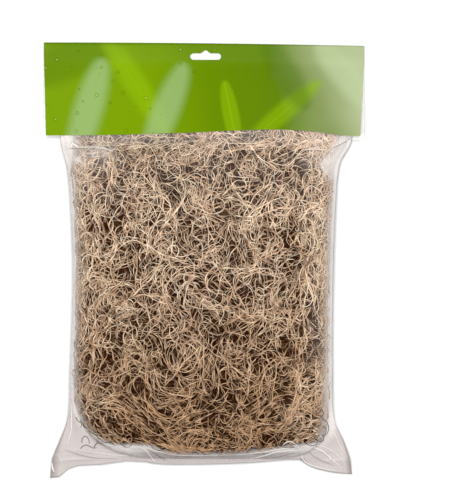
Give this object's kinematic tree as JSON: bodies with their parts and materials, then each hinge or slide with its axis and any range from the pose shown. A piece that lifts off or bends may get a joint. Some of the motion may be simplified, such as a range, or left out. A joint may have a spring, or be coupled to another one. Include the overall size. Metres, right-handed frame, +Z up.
{
  "type": "bagged spanish moss bunch",
  "caption": "Bunch of dried Spanish moss packed flat in a clear film bag, closed by a folded green header card with a hang slot.",
  "frame": {"origin": "middle of the pack's footprint on the surface it lies on, at the height of that surface", "axes": "+X to the pack's right, +Y along its length towards the header card, +Z up out of the surface, through the front of the pack"},
  "size_m": [0.32, 0.4379, 0.0605],
  "materials": {
    "moss": "dull dried plant fibre",
    "film": "thin clear polyethylene film, glossy and slightly hazy",
    "card": "coated green printed board with white cut edges"
  },
  "bodies": {
    "root": {"moss_bunch": "moss", "bag_film": "film", "header_card": "card"}
  },
  "joints": []
}
